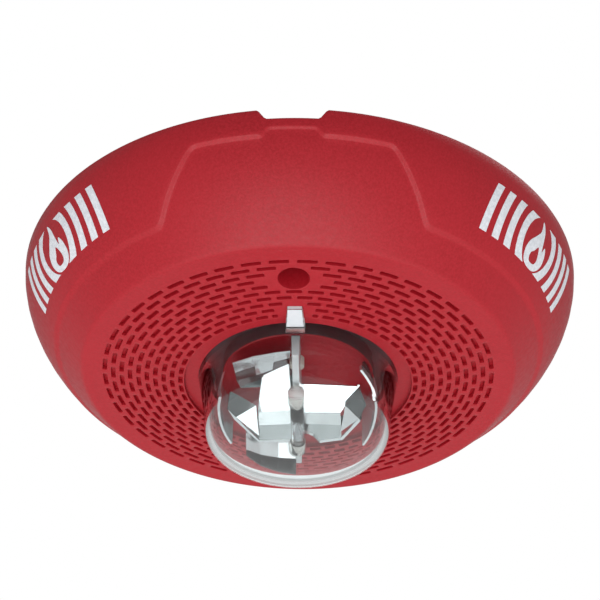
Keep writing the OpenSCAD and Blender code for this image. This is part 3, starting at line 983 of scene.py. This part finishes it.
def make_lens():
    shape = Shape()
    outer = [(LENS_R, LENS_TOP_Z)]
    outer += [(mix(LENS_R, LENS_NECK_R, t), mix(LENS_FOOT_Z, LENS_NECK_Z, t)) for t in (0, 0.35, 0.7)]
    outer += dome(LENS_NECK_R, LENS_TIP)
    inner = dome(LENS_NECK_R - LENS_T, LENS_TIP + LENS_T)[::-1]
    inner += [(LENS_R - LENS_T, FLOOR_Z), (LENS_R - LENS_T, LENS_TOP_Z)]
    shape.revolve(outer + inner + outer[:1], LENS_COLUMNS)
    shape.make("lens_dome", [LENS], "head", ["lens"], sharp=32)


def make_tab():
    """The lens's window tab: a clear root and a frosted wedge that lies on the face."""
    shape = Shape()
    low = CONE_Z - 2.15
    high = FLOOR_Z - 0.4
    step = face_height(RECESS_R) - 0.1
    root = ((30.4, 2.95, low, high), (32.4, 2.8, low, high), (33.1, 2.75, low, high))
    wedge = ((33.3, 2.73, low, high), (34.4, 2.64, low, high), (34.5, 2.62, low, step),
             (TAB_BEND, 2.4, CONE_Z - 1.5, face_height(TAB_BEND) + 0.1),
             (TAB_END, 2.25, CONE_Z - 0.75, face_height(TAB_END) + 0.1))
    for kind, stations in enumerate((root, wedge)):
        rows = [shape.row([(-half, -out, z0), (half, -out, z0), (half, -out, z1), (-half, -out, z1)])
                for out, half, z0, z1 in stations]
        shape.loft(rows, kind)
    shape.make("lens_window", [LENS, FROST], "head", sharp=20, bevel=0.22)


# Reflector ------------------------------------------------------------------------------------

def add_facet(shape, painted_level, *points):
    """A flat mirror facet with its back, thickened away from the lens tip."""
    points = [Vector(p) for p in points]
    normal = Vector((0, 0, 0))
    for a, b in zip(points, points[1:] + points[:1]):
        normal += a.cross(b)
    normal.normalize()
    if normal.z > 0:
        normal = -normal
    front = shape.row(points)
    back = shape.row([p - normal * FACET_T for p in points])
    first = len(shape.faces)
    shape.face(front)
    shape.face(back)
    shape.strip(front, back)
    # Every face of the facet carries its painted light level
    shape.painted_levels += [painted_level] * (len(shape.faces) - first)


def add_fin(shape, painted_level, r, start, end, low, high):
    """A curved upright fin about the axis. Low and high give z at its two ends."""
    steps = 14
    rows = []
    for i in range(steps + 1):
        t = i / steps
        deg = mix(start, end, t)
        z0, z1 = mix(low[0], low[1], t), mix(high[0], high[1], t)
        rows.append(shape.row([polar(r, deg, z1), polar(r, deg, z0),
                               polar(r - FIN_T, deg, z0), polar(r - FIN_T, deg, z1)]))
    first = len(shape.faces)
    shape.loft(rows)
    # Every face of the fin carries its painted light level
    shape.painted_levels += [painted_level] * (len(shape.faces) - first)


def add_base(shape, outline):
    """A flat foot of the reflector, let into the floor under the lens."""
    high = shape.row([(x, y, FLOOR_Z + 0.4) for x, y in outline])
    low = shape.row([(x, y, FLOOR_Z - 0.3) for x, y in outline])
    first = len(shape.faces)
    shape.strip(high, low)
    shape.face(high)
    shape.face(low)
    # The foot is painted dim, as painted shade
    shape.painted_levels += [PAINTED_DIM] * (len(shape.faces) - first)


def make_reflector():
    shape = Shape()
    shape.painted_levels = []
    # Each facet gets a painted light level: painted reflection on the bright ones, painted shade on
    # the dim and dark ones
    # right side, as seen from below with the screw ahead
    add_facet(shape, PAINTED_BRIGHT, (0.9, 2.5, ROOT_Z), (19, 3, ROOT_Z), (12.9, 8.5, KNEE_Z),
              (1.3, 8.5, KNEE_Z))
    add_facet(shape, PAINTED_MID, (1.3, 8.5, KNEE_Z), (12.9, 8.5, KNEE_Z), (13.1, 10.4, -45),
              (1.3, 10.3, -44.6))
    add_facet(shape, PAINTED_DIM, (1.3, 10.3, -44.6), (13.1, 10.4, -45), (13.2, 12.4, -48),
              (6.6, 13.6, -48.2), (4.6, 12.4, -46.6), (1.4, 11.6, -45.6))
    add_facet(shape, PAINTED_BRIGHT, (12.9, 10.9, -47), (14.4, 5, KNEE_Z), (18.6, 6, -45.6))
    add_facet(shape, PAINTED_DIM, (14.4, 5, KNEE_Z), (19, 3, ROOT_Z), (21, 4.6, KNEE_Z), (18.6, 6, -45.6))
    # left side
    add_facet(shape, PAINTED_BRIGHT, (-11, -2, ROOT_Z), (-2.6, -9, ROOT_Z), (-1.9, 7.5, KNEE_Z),
              (-12.4, 8.5, KNEE_Z))
    add_facet(shape, PAINTED_MID, (-12.4, 8.5, KNEE_Z), (-1.9, 7.5, KNEE_Z), (-1.8, 10, -44.8),
              (-12.2, 10.8, -44.8))
    add_facet(shape, PAINTED_DIM, (-12.2, 10.8, -44.8), (-1.8, 10, -44.8), (-1.6, 13, -48), (-12, 14, -48))
    add_facet(shape, PAINTED_BRIGHT, (-19, 6, -45), (-12.8, 4.8, KNEE_Z), (-12.1, 12, -47.5))
    add_facet(shape, PAINTED_DIM, (-20.8, 0, -40), (-12.8, 4.8, KNEE_Z), (-19, 6, -45), (-21.4, 2, -45))
    # near wing on the left, three long facets sloping to the base
    tops = [(x, y, KNEE_Z) for x, y in ((-18.6, -17.6), (-12.5, -21), (-6.2, -22.9), (-1.6, -23.8))]
    feet = [(x, y, ROOT_Z) for x, y in WING_FOOT]
    middles = [[mix(a, b, 0.45) for a, b in zip(top, foot)] for top, foot in zip(tops, feet)]
    # The wing's lower facets alternate painted shade and painted reflection
    for k, painted_level in enumerate((PAINTED_DARK, PAINTED_BRIGHT, PAINTED_DARK)):
        add_facet(shape, PAINTED_BRIGHT, tops[k], tops[k + 1], middles[k + 1], middles[k])
        add_facet(shape, painted_level, middles[k], middles[k + 1], feet[k + 1], feet[k])
    # far plate on the left, under the tip of the lens
    foot = [(-16.4, 13.6, -40), (-12, 15.4, -40), (-6.4, 16.4, -40), (-0.9, 16.9, -40)]
    seam = [(-16.4, 18.9, -48.6), (-12, 20.9, -49.1), (-6.4, 22.1, -49.4), (-0.9, 22.5, -49.5)]
    edge = [(-16.4, 18.6, -50.6), (-12, 20.6, -53.2), (-6.4, 21.6, -54.8), (-0.9, 22, -55.6)]
    for k in range(3):
        add_facet(shape, PAINTED_BRIGHT, foot[k], foot[k + 1], seam[k + 1], seam[k])
        add_facet(shape, PAINTED_DIM, seam[k], seam[k + 1], edge[k + 1], edge[k])
    # upright fins at both sides
    add_fin(shape, PAINTED_BRIGHT, 24.3, 150, 196, (-50.5, -46.5), FIN_ROOT)
    add_fin(shape, PAINTED_BRIGHT, 24.3, -8, 33, (-46, -50.5), FIN_ROOT)
    add_fin(shape, PAINTED_BRIGHT, 23.9, 324, 351, (-41.5, -46), (-39.5, -41))
    add_fin(shape, PAINTED_DIM, 23.6, 330, 351, (-39.6, -41), FIN_ROOT)
    # rims of the two bowls
    add_facet(shape, PAINTED_BRIGHT, (-12, 14, -48), (-1.6, 13, -48), (-1.6, 13.9, -48.2), (-12, 14.9, -48.2))
    add_facet(shape, PAINTED_BRIGHT, (-21.4, 2, -45), (-19, 6, -45.2), (-12, 14, -48), (-12, 14.9, -48.2),
              (-19.6, 6.6, -45.4))
    add_facet(shape, PAINTED_BRIGHT, (4.6, 12.4, -46.6), (6.6, 13.6, -48.2), (6.6, 14.6, -48.4),
              (4.4, 13.4, -46.8))
    add_facet(shape, PAINTED_BRIGHT, (6.6, 13.6, -48.2), (13.2, 12.4, -48), (18.6, 6, -45.6),
              (19.2, 6.9, -45.8), (13.6, 13.4, -48.2), (6.6, 14.6, -48.4))
    add_facet(shape, PAINTED_BRIGHT, (1.4, 11.6, -45.6), (4.6, 12.4, -46.6), (4.4, 13.4, -46.8),
              (1.4, 12.6, -45.8))
    add_base(shape, (*WING_FOOT, (-1.0, WING_FOOT[-1][1]), (-1.0, 4), (-18, 4)))
    add_base(shape, ((0.6, 3), (18.6, 3.4), (18, 6), (0.6, 6)))
    shape.make("reflector_facets", [MIRROR], "head", ["reflector"], sharp=12,
               joined=False)


def make_web():
    """Clear web across the reflector, under the flash tube."""
    shape = Shape()
    run = ((-24.4, -43.5), (-20, -45.8), (-14, -47.2), (14, -47.2), (20, -49), (23.2, -50.5))
    top = FLOOR_Z - 0.4
    shape.loft([shape.row([(-1.1, y, low), (0.9, y, low), (1.2, y, top), (-1.4, y, top)])
                for y, low in run])
    shape.make("reflector_web", [WEB], "head", sharp=25, bevel=0.25)


# Camera, light and floor ----------------------------------------------------------------------

def make_camera():
    """A camera below the object that looks up at it, turned a little about the axis at the end."""
    tilt, roll, turn = (math.radians(a) for a in (CAMERA_TILT, CAMERA_ROLL, CAMERA_TURN))
    ahead = Vector((0, math.cos(tilt), math.sin(tilt)))
    above = Vector((0, -math.sin(tilt), math.cos(tilt)))
    side = Vector((1, 0, 0))
    right = math.cos(roll) * side + math.sin(roll) * above
    up = -math.sin(roll) * side + math.cos(roll) * above
    rim = Vector((0, 0, RIM_Z))
    place = (rim - CAMERA_ASIDE * right - CAMERA_BELOW * up - CAMERA_REACH * ahead) * MM
    pose = Matrix((right, up, -ahead)).transposed().to_4x4()
    pose.translation = place
    data = bpy.data.cameras.new("camera")
    data.sensor_width = 36
    data.lens = 120
    data.clip_start = 0.01
    data.clip_end = 20
    camera = bpy.data.objects.new("camera", data)
    bpy.context.scene.collection.objects.link(camera)
    camera.matrix_world = Matrix.Rotation(turn, 4, "Z") @ pose
    bpy.context.scene.camera = camera


def make_light(name, place, aim, size, power):
    """A soft round lamp. Places and size are metres, power is watts."""
    data = bpy.data.lights.new(name, "AREA")
    data.shape = "DISK"
    data.size = size
    data.energy = power
    light = bpy.data.objects.new(name, data)
    bpy.context.scene.collection.objects.link(light)
    light.location = place
    light.rotation_euler = (Vector(aim) - Vector(place)).to_track_quat("-Z", "Y").to_euler()
    light.visible_camera = False


def make_floor():
    mesh = bpy.data.meshes.new("floor")
    half, z = 30.0, -1.2
    mesh.from_pydata([(-half, -half, z), (half, -half, z), (half, half, z), (-half, half, z)], [],
                     [(0, 1, 2, 3)])
    floor = bpy.data.objects.new("floor", mesh)
    bpy.context.scene.collection.objects.link(floor)
    made = Finish("floor_paint", 0.8)
    made.colour(made.blend(made.noise(3), (0.86, 0.86, 0.86), (0.90, 0.90, 0.90)))
    made.shader.inputs["Emission Color"].default_value = (1, 1, 1, 1)
    made.shader.inputs["Emission Strength"].default_value = 0.3
    mesh.materials.append(made.material)


def make_world():
    """A dim studio whose far wall, behind the object as the camera sees it, is lit white."""
    world = bpy.data.worlds.new("studio")
    world.use_nodes = True
    nodes, links = world.node_tree.nodes, world.node_tree.links
    sky = nodes["Background"]
    place = nodes.new("ShaderNodeTexCoord")
    aim = nodes.new("ShaderNodeVectorMath")
    aim.operation = "DOT_PRODUCT"
    aim.inputs[1].default_value = BACKDROP
    edge = nodes.new("ShaderNodeMapRange")
    edge.interpolation_type = "SMOOTHSTEP"
    for key, value in zip(("From Min", "From Max", "To Min", "To Max"), (*BACKDROP_EDGE, SKY, 1)):
        edge.inputs[key].default_value = value
    rise = nodes.new("ShaderNodeSeparateXYZ")
    haze = nodes.new("ShaderNodeMapRange")
    for key, value in zip(("From Min", "From Max", "To Min", "To Max"), (0, HAZE_TOP, HORIZON, SKY)):
        haze.inputs[key].default_value = value
    most = nodes.new("ShaderNodeMath")
    most.operation = "MAXIMUM"
    links.new(place.outputs["Generated"], aim.inputs[0])
    links.new(place.outputs["Generated"], rise.inputs[0])
    links.new(aim.outputs["Value"], edge.inputs["Value"])
    links.new(rise.outputs["Z"], haze.inputs["Value"])
    links.new(edge.outputs["Result"], most.inputs[0])
    links.new(haze.outputs["Result"], most.inputs[1])
    links.new(most.outputs["Value"], sky.inputs["Strength"])
    sky.inputs["Color"].default_value = (1, 1, 1, 1)
    bpy.context.scene.world = world
    bpy.context.scene.view_settings.view_transform = "Standard"


dress_frame()
make_housing()
make_marks()
make_lens()
make_tab()
make_reflector()
make_web()
make_camera()
make_world()
make_floor()
for lamp in LAMPS:
    make_light(*lamp)
